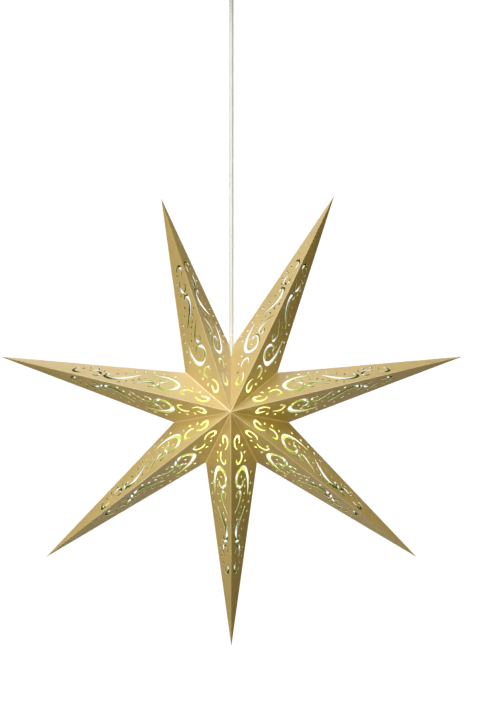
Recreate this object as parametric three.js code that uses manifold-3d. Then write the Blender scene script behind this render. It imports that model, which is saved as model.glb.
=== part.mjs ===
// A seven-pointed folded paper star lantern on its cord, with the ceiling rose above it.
// Millimetres, +Z up. The origin is on the ceiling, in the middle of the bracket's top face.
// The star's front faces -Y. Its points are numbered clockwise from the open seam at the top,
// and the left and right half of a point are named as seen from the front, tip upwards.
import * as THREE from 'three';
import { mergeVertices } from 'three/addons/utils/BufferGeometryUtils.js';
import Module from 'manifold-3d';

const wasm = await Module();
wasm.setup();

// ---- driving dimensions: paper star ----
const pointCount = 7;
const tipRadius = 307.7;
const notchRadius = 76.5;
const halfDepth = 70;
const paperBulge = 0.25; // half the thickness in the middle of a facet
const bevelRun = 11.5; // how far a facet takes to swell from its knife edge
const creaseTrim = 0.3; // each facet stops this short of its creases
const backRidgeTrim = 0.8;
const seamHalfWidth = 3.2; // half the slit that the cord leaves by, at the notch
const seamHeight = 84; // the slit's corners above the star's centre
const leaningPoint = 7; // the last point before the seam leans over towards it
const leaningTipRadius = 288.6;
const leaningTipAngle = THREE.MathUtils.degToRad(108.4);

// ---- driving dimensions: hanging ----
const hangDrop = 600; // ceiling to the star's centre
const cordRadius = 2.7;
const gap = 0.3; // between pieces that touch
const latheSides = 24;

// ---- driving dimensions: ceiling rose ----
const cupRadius = 45;
const cupHeight = 38;
const cupWall = 1.2;
const bracketWidth = 14;
const bracketThickness = 2;
const bracketSlot = { length: 10, width: 4.6, fromMiddle: 27 };
const earHeight = 16; // how far the bracket's ends are turned down
const canopyScrewDrop = 10; // ceiling to the cup's screws
const canopyScrewRadius = 1.9;
const glandRadius = 6;
const terminal = { fromMiddle: 18.5, width: 16, depth: 20, height: 13, screwSpacing: 9 };
const beadRadius = 7;
const pivotDrop = 50; // ceiling to the bead's centre

// ---- driving dimensions: lampholder and bulb, above the star's centre ----
const nutTop = 60;
const capTop = 50;
const capBase = 36;
const shellBase = 7;
const shellRadius = 13.8;
const shellWall = 1.6;
const contactBase = 28.4; // underside of the contact block
const contactTop = 34;
const bulbNeck = 5.6;
const bulbBottom = -30;
const bulbRadius = 12.5;

// ---- driving dimensions: seam ties ----
const tieHeight = 96; // above the star's centre
const tieRadius = 0.6;
const tieHoleInset = 5; // from the side edge to the hole that the tie comes out of

const finishes = {
  paper: { color: 0xb49a5c, roughness: 0.62, metalness: 0.25 },
  flex: { color: 0xf0eeea, roughness: 0.55, metalness: 0 },
  enamel: { color: 0xf2f1ee, roughness: 0.35, metalness: 0 },
  nylon: { color: 0xf3f2ef, roughness: 0.5, metalness: 0 },
  steel: { color: 0xb9bcc0, roughness: 0.35, metalness: 1 },
  brass: { color: 0xc9a24a, roughness: 0.3, metalness: 1 },
  ceramic: { color: 0xece8de, roughness: 0.4, metalness: 0 },
  glass: { color: 0xfff4dc, roughness: 0.1, metalness: 0, transparent: true, opacity: 0.45 },
  blackGlass: { color: 0x1a1a1c, roughness: 0.25, metalness: 0 },
  thread: { color: 0xf4f2ee, roughness: 0.8, metalness: 0 },
};

function piece(name, geometry, finish) {
  const mesh = new THREE.Mesh(geometry, new THREE.MeshStandardMaterial(finishes[finish]));
  mesh.name = name;
  return mesh;
}

// A solid of revolution about Z. The profile is a list of [radius, height] pairs.
function turned(profile, sides = latheSides) {
  const points = profile.map(([radius, height]) => new THREE.Vector2(radius, height));
  const geometry = new THREE.LatheGeometry(points, sides);
  geometry.rotateX(Math.PI / 2);
  return geometry;
}

// A ring or tube: the profile is closed on itself.
function turnedRing(profile, sides = latheSides) {
  return turned([...profile, profile[0]], sides);
}

function roundSection(radius, sides) {
  const section = new THREE.Shape();
  for (let i = 0; i < sides; i += 1) {
    const angle = (i * 2 * Math.PI) / sides;
    const x = radius * Math.cos(angle);
    const y = radius * Math.sin(angle);
    if (i === 0) section.moveTo(x, y);
    else section.lineTo(x, y);
  }
  section.closePath();
  return section;
}

function tubeAlong(points, radius, sides, steps) {
  const path = new THREE.CatmullRomCurve3(points.map((p) => new THREE.Vector3(...p)));
  return new THREE.ExtrudeGeometry(roundSection(radius, sides), { steps, extrudePath: path });
}

function toSolid(geometry) {
  const bare = geometry.index ? geometry.toNonIndexed() : geometry.clone();
  bare.deleteAttribute('normal');
  bare.deleteAttribute('uv');
  const merged = mergeVertices(bare, 1e-4);
  const mesh = new wasm.Mesh({
    numProp: 3,
    vertProperties: new Float32Array(merged.attributes.position.array),
    triVerts: new Uint32Array(merged.index.array),
  });
  return new wasm.Manifold(mesh);
}

function toGeometry(solid) {
  const mesh = solid.getMesh();
  const geometry = new THREE.BufferGeometry();
  geometry.setAttribute('position', new THREE.BufferAttribute(new Float32Array(mesh.vertProperties), 3));
  geometry.setIndex(new THREE.BufferAttribute(new Uint32Array(mesh.triVerts), 1));
  return geometry;
}

// A peg used to cut a round hole along X or Z.
function peg(radius, length, axis, x, y, z) {
  const geometry = new THREE.CylinderGeometry(radius, radius, length, 24);
  if (axis === 'x') geometry.rotateZ(Math.PI / 2);
  else geometry.rotateX(Math.PI / 2);
  geometry.translate(x, y, z);
  return geometry;
}

// ---------------------------------------------------------------- paper star

const halfStep = Math.PI / pointCount;
const frontCrown = new THREE.Vector3(0, -halfDepth, 0);
const backCrown = new THREE.Vector3(0, halfDepth, 0);

function onStar(radius, angle) {
  return new THREE.Vector3(radius * Math.cos(angle), 0, radius * Math.sin(angle));
}

function tipAngle(number) {
  return Math.PI / 2 - (number - 0.5) * 2 * halfStep;
}

function tipOf(number) {
  if (number === leaningPoint) return onStar(leaningTipRadius, leaningTipAngle);
  return onStar(tipRadius, tipAngle(number));
}

// The two corners at the open seam stand apart, to let the cord out between them.
function seamCorner(side) {
  return new THREE.Vector3(side * seamHalfWidth, 0, seamHeight);
}

// Each edge of a triangle moved inwards by its own depth. Corners run anticlockwise.
function insetTriangle(corners, depths) {
  const lines = corners.map((corner, i) => {
    const next = corners[(i + 1) % 3];
    const along = next.clone().sub(corner).normalize();
    const inward = new THREE.Vector2(-along.y, along.x);
    return { along, through: corner.clone().addScaledVector(inward, depths[i]) };
  });
  return lines.map((line, i) => {
    const previous = lines[(i + 2) % 3];
    const offset = line.through.clone().sub(previous.through);
    const reach = offset.cross(line.along) / previous.along.cross(line.along);
    return previous.through.clone().addScaledVector(previous.along, reach);
  });
}

// A facet lies in its own XY plane: crown at the origin, ridge along X, notch on the +Y side.
// It has a knife edge all round, so that it can fold nearly flat against its neighbours.
function facetPlate(ridgeLength, notch, ridgeTrim) {
  const corners = [new THREE.Vector2(0, 0), new THREE.Vector2(ridgeLength, 0), notch];
  const trims = [ridgeTrim, creaseTrim, creaseTrim];
  const rim = insetTriangle(corners, trims);
  const plateau = insetTriangle(corners, trims.map((trim) => trim + bevelRun));
  const positions = [];
  for (const [outline, height] of [[rim, 0], [plateau, paperBulge], [plateau, -paperBulge]]) {
    for (const corner of outline) positions.push(corner.x, corner.y, height);
  }
  const faces = [3, 4, 5, 6, 8, 7];
  for (let i = 0; i < 3; i += 1) {
    const j = (i + 1) % 3;
    faces.push(i, j, j + 3, i, j + 3, i + 3);
    faces.push(j, i, i + 6, j, i + 6, j + 6);
  }
  const geometry = new THREE.BufferGeometry();
  geometry.setAttribute('position', new THREE.Float32BufferAttribute(positions, 3));
  geometry.setIndex(faces);
  return geometry;
}

function facet(name, crown, tip, notch, ridgeTrim) {
  const ridge = tip.clone().sub(crown);
  const toNotch = notch.clone().sub(crown);
  const alongRidge = ridge.clone().normalize();
  const notchRun = toNotch.dot(alongRidge);
  const sideways = toNotch.clone().addScaledVector(alongRidge, -notchRun);
  const notchRise = sideways.length();
  sideways.normalize();
  const plate = facetPlate(ridge.length(), new THREE.Vector2(notchRun, notchRise), ridgeTrim);
  const mesh = piece(name, plate, 'paper');
  const facing = alongRidge.clone().cross(sideways);
  mesh.quaternion.setFromRotationMatrix(new THREE.Matrix4().makeBasis(alongRidge, sideways, facing));
  mesh.position.copy(crown);
  return mesh;
}

function paperStar() {
  const star = new THREE.Group();
  for (let number = 1; number <= pointCount; number += 1) {
    const tip = tipOf(number);
    for (const [half, turn] of [['left', halfStep], ['right', -halfStep]]) {
      let notch = onStar(notchRadius, tipAngle(number) + turn);
      if (number === 1 && half === 'left') notch = seamCorner(1);
      if (number === pointCount && half === 'right') notch = seamCorner(-1);
      star.add(facet(`point_${number}_front_${half}`, frontCrown, tip, notch, creaseTrim));
      star.add(facet(`point_${number}_back_${half}`, backCrown, tip, notch, backRidgeTrim));
    }
  }
  return star;
}

// A tie comes out of a hole beside the side edge and runs to the middle, in front of the cord.
function seamTie(name, side) {
  const tip = tipOf(side > 0 ? 1 : pointCount);
  const notch = seamCorner(side);
  const edge = notch.clone().lerp(tip, (tieHeight - notch.z) / (tip.z - notch.z));
  const alongEdge = tip.clone().sub(notch).normalize();
  const toCrown = frontCrown.clone().sub(edge);
  const inward = toCrown.addScaledVector(alongEdge, -toCrown.dot(alongEdge)).normalize();
  const hole = edge.clone().addScaledVector(inward, tieHoleInset);
  const front = hole.y - tieRadius - 2 * gap - paperBulge;
  const start = [hole.x, front, hole.z];
  const middle = [side * gap, Math.min(front, -cordRadius - tieRadius - gap), tieHeight];
  const between = [(start[0] + middle[0]) / 2, (start[1] + middle[1]) / 2, (start[2] + middle[2]) / 2];
  return piece(name, tubeAlong([start, between, middle], tieRadius, 8, 4), 'thread');
}

// ------------------------------------------------------ lampholder and bulb

function lampholder() {
  const holder = new THREE.Group();
  const boreRadius = cordRadius + 0.35;
  const threadRadius = 4.9;

  const nut = [
    [boreRadius, capTop - 6], [threadRadius, capTop - 6], [threadRadius, capTop + gap],
    [6.6, capTop + gap], [6.6, capTop + 5], [4.6, nutTop], [boreRadius, nutTop],
  ];
  holder.add(piece('cord_grip_nut', turnedRing(nut), 'nylon'));

  const cap = [
    [threadRadius + gap, capTop - 1.8], [8.6, capTop - 1.8], [11.2, capTop - 4.6],
    [shellRadius - shellWall, capTop - 8.4], [shellRadius - shellWall, capBase], [shellRadius, capBase],
    [shellRadius, capTop - 9], [12.4, capTop - 3.5], [9, capTop], [threadRadius + gap, capTop],
  ];
  holder.add(piece('holder_cap', turnedRing(cap), 'nylon'));

  const shellTop = capBase - gap;
  const shellInner = shellRadius - shellWall;
  const shell = [
    [shellInner, shellBase], [shellRadius, shellBase], [shellRadius, shellTop], [shellInner, shellTop],
  ];
  holder.add(piece('holder_shell', turnedRing(shell), 'nylon'));

  const ringInner = shellRadius + gap;
  const ring = [
    [ringInner, 12], [ringInner + 3, 12], [ringInner + 3, 14.5], [ringInner + 1.4, 18], [ringInner, 18],
  ];
  holder.add(piece('shade_ring', turnedRing(ring), 'nylon'));

  const blockRadius = shellInner - gap;
  const block = [[0, contactBase], [blockRadius, contactBase], [blockRadius, contactTop], [0, contactTop]];
  holder.add(piece('contact_block', turned(block), 'ceramic'));

  const brassTop = contactBase - gap;
  const screwShell = [[7.3, 9.5], [7.8, 9.5], [7.8, brassTop], [7.3, brassTop]];
  holder.add(piece('screw_shell', turnedRing(screwShell), 'brass'));

  const tongue = [[0, brassTop - 1], [1.8, brassTop - 1], [2.6, brassTop], [0, brassTop]];
  holder.add(piece('centre_contact', turned(tongue, 16), 'brass'));
  return holder;
}

function bulb() {
  const lamp = new THREE.Group();
  const glassWall = 0.6;
  const glassOuter = [
    [6.2, bulbNeck], [7.2, 1.5], [10.4, -5], [bulbRadius, -13.5], [11.4, -21], [7.6, -27], [3.2, -29.5],
  ];
  const glassInner = glassOuter.map(([radius, height]) => [radius - glassWall, height]).reverse();
  const glass = [
    [0, bulbBottom], ...[...glassOuter].reverse(), ...[...glassInner].reverse(), [0, bulbBottom + glassWall],
  ];
  lamp.add(piece('bulb_glass', turned(glass), 'glass'));

  const stem = [[0, -14], [1, -14], [1.4, -3], [3.2, 2], [3.6, bulbNeck + 0.2], [0, bulbNeck + 0.2]];
  lamp.add(piece('bulb_stem', turned(stem, 16), 'glass'));

  const shellTop = 24;
  const shell = [
    [0, 6.2], [6.6, 6.2], [6.75, 8], [6.75, shellTop - 2.5], [5.2, shellTop], [0, shellTop],
  ];
  lamp.add(piece('bulb_base_shell', turned(shell), 'steel'));

  const insulator = [[0, shellTop + gap], [4.8, shellTop + gap], [2.8, 25.9], [0, 25.9]];
  lamp.add(piece('bulb_insulator', turned(insulator, 16), 'blackGlass'));

  const tip = [[0, 26.1], [2.2, 26.1], [1.6, 26.8], [0, 26.8]];
  lamp.add(piece('bulb_contact_tip', turned(tip, 16), 'brass'));
  return lamp;
}

// ------------------------------------------------------------- ceiling rose

function ceilingRose() {
  const rose = new THREE.Group();
  const screwHeight = -canopyScrewDrop;
  const earOuter = Math.sqrt((cupRadius - cupWall - 2 * gap) ** 2 - (bracketWidth / 2) ** 2);
  const earInner = earOuter - bracketThickness;
  const holeRadius = canopyScrewRadius + gap;

  // A steel strap with two screw slots, turned down at both ends to take the cup's screws.
  const strap = new THREE.BoxGeometry(2 * earOuter, bracketWidth, bracketThickness);
  strap.translate(0, 0, -bracketThickness / 2);
  let bracket = toSolid(strap);
  for (const side of [-1, 1]) {
    const ear = new THREE.BoxGeometry(bracketThickness, bracketWidth, earHeight);
    ear.translate(side * (earInner + bracketThickness / 2), 0, -earHeight / 2);
    bracket = bracket.add(toSolid(ear));
    const slot = new THREE.BoxGeometry(bracketSlot.length, bracketSlot.width, 3 * bracketThickness);
    slot.translate(side * bracketSlot.fromMiddle, 0, -bracketThickness / 2);
    bracket = bracket.subtract(toSolid(slot));
    const screwHole = peg(holeRadius, 3 * bracketThickness, 'x', side * earInner, 0, screwHeight);
    bracket = bracket.subtract(toSolid(screwHole));
  }
  rose.add(piece('ceiling_bracket', toGeometry(bracket), 'steel'));

  const floor = -cupHeight;
  const cup = [
    [glandRadius + gap, floor], [cupRadius - 9, floor], [cupRadius - 2.6, floor + 3], [cupRadius, floor + 9],
    [cupRadius, -gap], [cupRadius - cupWall, -gap], [cupRadius - cupWall, floor + 9.4],
    [cupRadius - 3.4, floor + 4], [cupRadius - 9.4, floor + cupWall], [glandRadius + gap, floor + cupWall],
  ];
  let cupSolid = toSolid(turnedRing(cup, 40));
  for (const side of [-1, 1]) {
    const screwHole = peg(holeRadius, 4, 'x', side * (cupRadius - cupWall / 2), 0, screwHeight);
    cupSolid = cupSolid.subtract(toSolid(screwHole));
  }
  rose.add(piece('canopy_cup', toGeometry(cupSolid), 'enamel'));

  for (const [name, side] of [['canopy_screw_left', -1], ['canopy_screw_right', 1]]) {
    const shank = [
      [0, 0], [canopyScrewRadius, 0], [canopyScrewRadius, 8.5],
      [3.6, 8.5], [3.6, 9.6], [2.6, 10.8], [0, 10.8],
    ];
    const screw = piece(name, turned(shank, 16), 'steel');
    screw.rotation.y = (side * Math.PI) / 2;
    screw.position.set(side * (cupRadius - 8), 0, screwHeight);
    rose.add(screw);
  }

  // The gland clamps in the cup's floor and ends in a socket that the bead rests in.
  const mouth = -pivotDrop - 4;
  const bore = cordRadius + 0.4;
  const gland = [
    [6.3, mouth], [5.6, mouth - 1], [8.6, mouth - 1], [10.4, -pivotDrop + 2], [10.4, floor - gap],
    [glandRadius, floor - gap], [glandRadius, floor + 8], [bore, floor + 8], [bore, -pivotDrop + 7],
    [5.6, -pivotDrop + 5.3], [7.2, -pivotDrop + 2.6], [7.6, -pivotDrop], [7.2, -pivotDrop - 2],
  ];
  rose.add(piece('canopy_gland', turnedRing(gland), 'nylon'));

  const nutHeight = 4;
  const nutMiddle = floor + cupWall + gap + nutHeight / 2;
  const hexagon = new THREE.CylinderGeometry(10, 10, nutHeight, 6);
  hexagon.rotateX(Math.PI / 2);
  hexagon.translate(0, 0, nutMiddle);
  const nutHole = peg(glandRadius + gap, 2 * nutHeight, 'z', 0, 0, nutMiddle);
  const lockNut = toSolid(hexagon).subtract(toSolid(nutHole));
  rose.add(piece('gland_lock_nut', toGeometry(lockNut), 'nylon'));

  const tail = [
    [0, 0, -pivotDrop + beadRadius + 0.6], [0, 0, -32], [0.6, 0, -26], [4, 0, -20], [9.7, 0, -17.2],
  ];
  rose.add(piece('cord_tail', tubeAlong(tail, cordRadius, 8, 8), 'flex'));

  const terminalTop = -bracketThickness - gap;
  const terminalFloor = terminalTop - terminal.height;
  const block = new THREE.BoxGeometry(terminal.width, terminal.depth, terminal.height);
  block.translate(terminal.fromMiddle, 0, terminalTop - terminal.height / 2);
  let blockSolid = toSolid(block);
  for (const [name, side] of [['terminal_screw_live', -1], ['terminal_screw_neutral', 1]]) {
    const y = (side * terminal.screwSpacing) / 2;
    const recess = peg(2.1, 6, 'z', terminal.fromMiddle, y, terminalFloor);
    blockSolid = blockSolid.subtract(toSolid(recess));
    const head = [[0, 0], [1.7, 0], [1.7, 2.2], [0, 2.2]];
    const screw = piece(name, turned(head, 16), 'brass');
    screw.position.set(terminal.fromMiddle, y, terminalFloor + 0.4);
    rose.add(screw);
  }
  rose.add(piece('terminal_block', toGeometry(blockSolid), 'nylon'));
  return rose;
}

// ------------------------------------------------------------------ hanging

// The moulded bead on the cord, which can tilt any way in the gland's socket.
function cordBead() {
  const profile = [];
  for (let i = 0; i <= 12; i += 1) {
    const angle = -Math.PI / 2 + (i * Math.PI) / 12;
    const onAxis = i === 0 || i === 12;
    profile.push([onAxis ? 0 : beadRadius * Math.cos(angle), beadRadius * Math.sin(angle)]);
  }
  const bead = piece('cord_bead', turned(profile), 'nylon');
  bead.position.z = -pivotDrop;
  return bead;
}

function hangingCord() {
  const top = -pivotDrop - beadRadius - gap;
  const bottom = -hangDrop + capTop - 6;
  const steps = Math.round((top - bottom) / (5 * cordRadius));
  const route = [[0, 0, top], [0, 0, (top + bottom) / 2], [0, 0, bottom]];
  return piece('hanging_cord', tubeAlong(route, cordRadius, 10, steps), 'flex');
}

const lantern = new THREE.Group();
lantern.position.z = -hangDrop;
lantern.add(paperStar());
lantern.add(seamTie('seam_tie_left', -1));
lantern.add(seamTie('seam_tie_right', 1));
lantern.add(lampholder());
lantern.add(bulb());

const part = new THREE.Group();
part.add(ceilingRose());
part.add(cordBead());
part.add(hangingCord());
part.add(lantern);

export default part;
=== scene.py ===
import bpy
import math
from mathutils import Matrix, Vector


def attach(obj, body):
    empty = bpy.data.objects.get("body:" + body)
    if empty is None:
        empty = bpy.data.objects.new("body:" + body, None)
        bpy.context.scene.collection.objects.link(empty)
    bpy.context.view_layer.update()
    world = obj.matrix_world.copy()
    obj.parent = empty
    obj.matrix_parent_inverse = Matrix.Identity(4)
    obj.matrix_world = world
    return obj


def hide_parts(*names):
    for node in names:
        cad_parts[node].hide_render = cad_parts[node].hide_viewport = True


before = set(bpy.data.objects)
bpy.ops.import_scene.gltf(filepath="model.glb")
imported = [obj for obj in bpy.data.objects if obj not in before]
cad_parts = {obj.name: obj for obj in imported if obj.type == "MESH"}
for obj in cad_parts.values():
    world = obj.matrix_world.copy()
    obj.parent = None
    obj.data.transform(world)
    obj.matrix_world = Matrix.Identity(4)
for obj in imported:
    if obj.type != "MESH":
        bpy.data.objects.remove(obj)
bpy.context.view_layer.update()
bpy.ops.object.select_all(action="DESELECT")
scene = bpy.context.scene
mm = 0.001
starCentre = Vector((0, 0, -0.6))  # the ceiling is at zero
print("frame loaded,", len(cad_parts), "nodes")

# The camera looks level, straight at the star's front.
view = {"place": (0.0112, -1.4, -0.536), "lens": 53.9}

bpy.ops.object.camera_add(location=view["place"], rotation=(math.pi / 2, 0, 0))
scene.camera = bpy.context.object
scene.camera.data.lens = view["lens"]
print("camera placed")


def activate(piece):
    bpy.ops.object.select_all(action="DESELECT")
    piece.select_set(True)
    bpy.context.view_layer.objects.active = piece


# A socket takes a link or a plain value.
def feed(tree, socket, value):
    if isinstance(value, bpy.types.NodeSocket):
        tree.links.new(value, socket)
    else:
        socket.default_value = value


def mixColour(tree, factor, first, second):
    node = tree.nodes.new("ShaderNodeMix")
    node.data_type = "RGBA"
    for number, value in ((0, factor), (6, first), (7, second)):  # the colour mix's own sockets
        feed(tree, node.inputs[number], value)
    return node.outputs[2]


def mathNode(tree, operation, first, second):
    node = tree.nodes.new("ShaderNodeMath")
    node.operation = operation
    feed(tree, node.inputs[0], first)
    feed(tree, node.inputs[1], second)
    return node.outputs[0]


def mapRange(tree, value, fromMin, fromMax, toMin=0.0, toMax=1.0):
    node = tree.nodes.new("ShaderNodeMapRange")
    for socket, given in zip(node.inputs, (value, fromMin, fromMax, toMin, toMax)):
        feed(tree, socket, given)
    return node.outputs[0]


def newGroup(name, inputs, outputs):
    group = bpy.data.node_groups.new(name, "ShaderNodeTree")
    for label, kind, value in inputs:
        socket = group.interface.new_socket(label, in_out="INPUT", socket_type="NodeSocket" + kind)
        socket.default_value = value
    for label, kind in outputs:
        group.interface.new_socket(label, in_out="OUTPUT", socket_type="NodeSocket" + kind)
    return group, group.nodes.new("NodeGroupInput").outputs, group.nodes.new("NodeGroupOutput").inputs


def useGroup(tree, group, values):
    node = tree.nodes.new("ShaderNodeGroup")
    node.node_tree = group
    for label, value in values.items():
        feed(tree, node.inputs[label], value)
    return node.outputs


def noiseAt(tree, vector, scale, detail):
    node = tree.nodes.new("ShaderNodeTexNoise")
    node.inputs["Detail"].default_value = detail
    tree.links.new(vector, node.inputs["Vector"])
    tree.links.new(scale, node.inputs["Scale"])
    return node.outputs[0]


grainMix = {"cloudDetail": 4.0, "grainDetail": 2.0, "cloudShare": 0.65, "grainShare": 0.35,
            "darkUnder": 0.36, "lightOver": 0.64, "middle": 0.5, "spreadGain": 4.0}


# Two colours clouded together, with a fine grain for the bump and the roughness.
def makeGrainGroup():
    inputs = [("Light", "Color", (1, 1, 1, 1)), ("Dark", "Color", (0, 0, 0, 1)),
              ("Cloud Scale", "Float", 20.0), ("Grain Scale", "Float", 900.0),
              ("Roughness", "Float", 0.5), ("Roughness Spread", "Float", 0.1)]
    outputs = [("Color", "Color"), ("Roughness", "Float"), ("Height", "Float")]
    group, given, out = newGroup("surfaceGrain", inputs, outputs)
    place = group.nodes.new("ShaderNodeTexCoord").outputs["Object"]
    cloud = noiseAt(group, place, given["Cloud Scale"], grainMix["cloudDetail"])
    grain = noiseAt(group, place, given["Grain Scale"], grainMix["grainDetail"])
    both = mathNode(group, "ADD", mathNode(group, "MULTIPLY", cloud, grainMix["cloudShare"]),
                    mathNode(group, "MULTIPLY", grain, grainMix["grainShare"]))
    lightness = mapRange(group, both, grainMix["darkUnder"], grainMix["lightOver"])
    group.links.new(mixColour(group, lightness, given["Dark"], given["Light"]), out["Color"])
    offMiddle = mathNode(group, "SUBTRACT", both, grainMix["middle"])
    spread = mathNode(group, "MULTIPLY", offMiddle, given["Roughness Spread"])
    widened = mathNode(group, "MULTIPLY", spread, grainMix["spreadGain"])
    group.links.new(mathNode(group, "ADD", given["Roughness"], widened), out["Roughness"])
    group.links.new(grain, out["Height"])
    return group


grainGroup = makeGrainGroup()


def newMaterial(name):
    material = bpy.data.materials.new(name)
    material.use_nodes = True
    tree = material.node_tree
    return material, tree, tree.nodes["Principled BSDF"], tree.nodes["Material Output"]


def grainOn(tree, light, dark, roughness, spread, cloud, grain):
    return useGroup(tree, grainGroup, {
        "Light": (*light, 1), "Dark": (*dark, 1), "Cloud Scale": cloud, "Grain Scale": grain,
        "Roughness": roughness, "Roughness Spread": spread,
    })


def bumpInto(tree, shader, height, strength, distance):
    bump = tree.nodes.new("ShaderNodeBump")
    bump.inputs["Strength"].default_value = strength
    bump.inputs["Distance"].default_value = distance
    tree.links.new(height, bump.inputs["Height"])
    tree.links.new(bump.outputs[0], shader.inputs["Normal"])
    return bump.outputs[0]


def plainFinish(name, light, dark, roughness, spread=0.1, cloud=25.0, grain=900.0, bump=0.1, sockets=None):
    material, tree, shader, _ = newMaterial(name)
    surface = grainOn(tree, light, dark, roughness, spread, cloud, grain)
    tree.links.new(surface["Color"], shader.inputs["Base Color"])
    tree.links.new(surface["Roughness"], shader.inputs["Roughness"])
    bumpInto(tree, shader, surface["Height"], bump, 0.2 * mm)
    for label, value in (sockets or {}).items():
        shader.inputs[label].default_value = value
    return material


def shaded(colour, share):
    return tuple(share * part for part in colour)


# The taut cord, from the bead in the ceiling rose down into the lampholder's grip.
cord = {"top": -0.0573, "bottom": -0.556, "leaves": -0.54, "radius": 0.0027, "points": 26, "bevelSteps": 6}

flexWhite = plainFinish("flexWhite", (0.55, 0.56, 0.57), (0.51, 0.52, 0.53), 0.42, grain=300.0, bump=0.05,
                        sockets={"Specular IOR Level": 0.45})


def makeCord():
    length = cord["top"] - cord["bottom"]
    data = bpy.data.curves.new("hangingFlex", "CURVE")
    data.dimensions = "3D"
    line = data.splines.new("POLY")
    line.points.add(cord["points"] - 1)
    for i, point in enumerate(line.points):
        point.co = (0, 0, cord["bottom"] + length * i / (cord["points"] - 1), 1)
    data.bevel_depth = cord["radius"]
    data.bevel_resolution = cord["bevelSteps"]
    data.use_fill_caps = True
    flex = bpy.data.objects.new("hangingFlex", data)
    scene.collection.objects.link(flex)
    flex.data.materials.append(flexWhite)
    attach(flex, "cord")
    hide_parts("hanging_cord")


makeCord()
print("cord hung")

# Pearl gold card outside. The inside paper is green, with the bulb's light painted on: pale yellow near the
# centre is painted light, and dark green towards the tips is painted shade.
paper = {
    "outsideLight": (0.50, 0.352, 0.108), "outsideDark": (0.44, 0.308, 0.086),
    "outsideRoughness": 0.5, "outsideSpread": 0.12,
    "pearl": {"Metallic": 0.1, "Coat Weight": 1.0, "Coat IOR": 2.2, "Coat Roughness": 0.42},
    # The inside colours paint the bulb's light: painted light near the centre, painted shade towards the
    # tips.
    "insideLampLit": (0.84, 0.84, 0.34), "insideShadedGreen": (0.08, 0.30, 0.04),
    "insideRoughness": 0.6, "insideSpread": 0.1, "insideShade": 0.8,
    "lampLitUntil": 0.15, "shadedFrom": 0.6,  # shares of the ridge
    "cloud": 14.0, "grain": 700.0, "bump": 0.25, "bumpDepth": 0.0003,
    "outsideGlow": (0.95, 0.74, 0.16), "outsideGlowShare": 0.03,
    "insideGlow": (0.95, 0.80, 0.45), "insideGlowShare": 0.12,
    "cutEdge": (0.86, 0.80, 0.55), "cutEdgeShade": 0.85, "cutEdgeRoughness": 0.7, "cutEdgeGrain": 1500.0,
}
# A pale painted highlight along the creases, fading out before the tips.
creaseHighlight = {
    "colour": (0.85, 0.76, 0.52), "width": 0.13, "breakScale": 160.0, "detail": 4.0,
    "least": 0.4, "gain": 1.3, "strength": 0.75,
    "fadesFrom": 0.55, "goneAt": 0.75,  # shares of the ridge
}


# Painted highlight along the folds: one on a crease and nothing past a broken width, which is a share of the
# sheet's taper.
def makeCreaseGroup():
    inputs = [("Width", "Float", creaseHighlight["width"]), ("Break Scale", "Float", creaseHighlight["breakScale"])]
    group, given, out = newGroup("paintedCreaseHighlight", inputs, [("Mask", "Float")])
    attribute = group.nodes.new("ShaderNodeAttribute")
    attribute.attribute_name = "creaseDistance"
    place = group.nodes.new("ShaderNodeTexCoord").outputs["Object"]
    speckle = noiseAt(group, place, given["Break Scale"], creaseHighlight["detail"])
    broken = mathNode(group, "ADD", creaseHighlight["least"], mathNode(group, "MULTIPLY", speckle, creaseHighlight["gain"]))
    width = mathNode(group, "MULTIPLY", given["Width"], broken)
    group.links.new(mapRange(group, attribute.outputs["Fac"], 0.0, width, 1.0, 0.0), out["Mask"])
    return group


creaseGroup = makeCreaseGroup()


def runAlongRidge(tree):
    uv = tree.nodes.new("ShaderNodeUVMap")
    uv.uv_map = "facet"
    parts = tree.nodes.new("ShaderNodeSeparateXYZ")
    tree.links.new(uv.outputs[0], parts.inputs[0])
    return parts.outputs[0]


def letLightThrough(tree, shader, output, normal, colour, share):
    through = tree.nodes.new("ShaderNodeBsdfTranslucent")
    through.inputs["Color"].default_value = (*colour, 1)
    tree.links.new(normal, through.inputs["Normal"])
    mix = tree.nodes.new("ShaderNodeMixShader")
    mix.inputs[0].default_value = share
    tree.links.new(shader.outputs[0], mix.inputs[1])
    tree.links.new(through.outputs[0], mix.inputs[2])
    tree.links.new(mix.outputs[0], output.inputs[0])


def makePaperOutside():
    material, tree, shader, output = newMaterial("paperPearlGold")
    surface = grainOn(tree, paper["outsideLight"], paper["outsideDark"], paper["outsideRoughness"],
                      paper["outsideSpread"], paper["cloud"], paper["grain"])
    highlit = useGroup(tree, creaseGroup, {"Width": creaseHighlight["width"], "Break Scale": creaseHighlight["breakScale"]})
    beforeTip = mapRange(tree, runAlongRidge(tree), creaseHighlight["fadesFrom"], creaseHighlight["goneAt"], creaseHighlight["strength"], 0.0)
    # Painted highlight: a paler colour laid along the outside's creases.
    highlightShare = mathNode(tree, "MULTIPLY", highlit["Mask"], beforeTip)
    colour = mixColour(tree, highlightShare, surface["Color"], (*creaseHighlight["colour"], 1))
    tree.links.new(colour, shader.inputs["Base Color"])
    tree.links.new(surface["Roughness"], shader.inputs["Roughness"])
    for label, value in paper["pearl"].items():
        shader.inputs[label].default_value = value
    normal = bumpInto(tree, shader, surface["Height"], paper["bump"], paper["bumpDepth"])
    letLightThrough(tree, shader, output, normal, paper["outsideGlow"], paper["outsideGlowShare"])
    return material


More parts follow.
